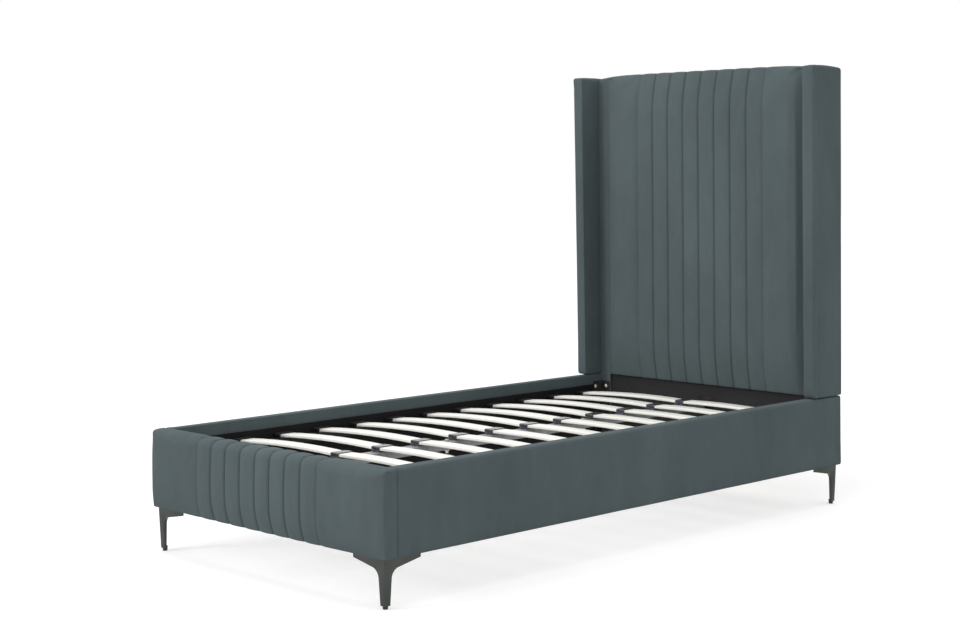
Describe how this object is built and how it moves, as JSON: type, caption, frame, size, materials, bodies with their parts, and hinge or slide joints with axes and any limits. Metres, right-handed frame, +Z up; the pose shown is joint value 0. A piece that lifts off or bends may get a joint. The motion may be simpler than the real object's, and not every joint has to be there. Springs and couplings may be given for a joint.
{
  "type": "upholstered bed",
  "caption": "Single bed in channelled velvet with a tall winged headboard, bowed half slats on a steel centre beam and flared metal legs",
  "frame": {"origin": "on the floor, below the middle of the whole bed, footboard crown included", "axes": "+X to the right of someone lying in bed with the head at the headboard, +Y from the foot end to the headboard, +Z up"},
  "size_m": [1.09, 2.116, 1.512],
  "materials": {
    "velvet": "matte",
    "black_lining": "matte",
    "grey_lining": "matte",
    "pine": "matte",
    "plywood": "matte",
    "slat_wood": "satin",
    "black_steel": "satin",
    "grey_steel": "satin",
    "yellow_zinc": "satin",
    "gunmetal": "gloss",
    "black_plastic": "satin",
    "slate_plastic": "gloss"
  },
  "bodies": {
    "bed_frame": {"headboard_pad": "velvet", "headboard_post_covers": "velvet", "wing_cover_left": "velvet", "wing_cover_right": "velvet", "footboard_cover": "velvet", "side_rail_cover_left": "velvet", "side_rail_cover_right": "velvet", "headboard_back_lining": "black_lining", "footboard_lining": "black_lining", "side_rail_lining_left": "black_lining", "side_rail_lining_right": "black_lining", "headboard_lower_lining": "grey_lining", "headboard_post_left": "pine", "headboard_post_right": "pine", "headboard_top_rail": "pine", "headboard_middle_rail": "pine", "headboard_beam_rail": "pine", "headboard_bottom_rail": "pine", "footboard_board": "pine", "side_rail_board_left": "pine", "side_rail_board_right": "pine", "wing_board_left": "pine", "wing_board_right": "pine", "headboard_panel": "plywood", "slats_left": "slat_wood", "slats_right": "slat_wood", "corner_bracket_front_left": "black_steel", "corner_bracket_front_right": "black_steel", "corner_bracket_rear_left": "black_steel", "corner_bracket_rear_right": "black_steel", "ledger_angle_left": "black_steel", "ledger_angle_right": "black_steel", "beam_bracket_front": "black_steel", "beam_bracket_rear": "black_steel", "centre_beam": "grey_steel", "centre_leg_bolts": "yellow_zinc", "centre_leg_nuts": "yellow_zinc", "corner_leg_front_left": "gunmetal", "corner_leg_front_right": "gunmetal", "corner_leg_rear_left": "gunmetal", "corner_leg_rear_right": "gunmetal", "side_slat_holders_left": "black_plastic", "side_slat_holders_right": "black_plastic", "leg_glides": "black_plastic", "centre_slat_holders": "slate_plastic"},
    "front_centre_leg": {"centre_leg_tube_front": "black_steel", "centre_leg_plug_front": "black_plastic", "centre_leg_foot_front": "black_plastic"},
    "rear_centre_leg": {"centre_leg_tube_rear": "black_steel", "centre_leg_plug_rear": "black_plastic", "centre_leg_foot_rear": "black_plastic"}
  },
  "joints": [
    {"name": "front_leg_height", "type": "slide", "parent": "bed_frame", "child": "front_centre_leg", "axis": [0, 0, -1], "range_m": [-0.011, 0.012]},
    {"name": "rear_leg_height", "type": "slide", "parent": "bed_frame", "child": "rear_centre_leg", "axis": [0, 0, -1], "range_m": [-0.011, 0.012]}
  ]
}
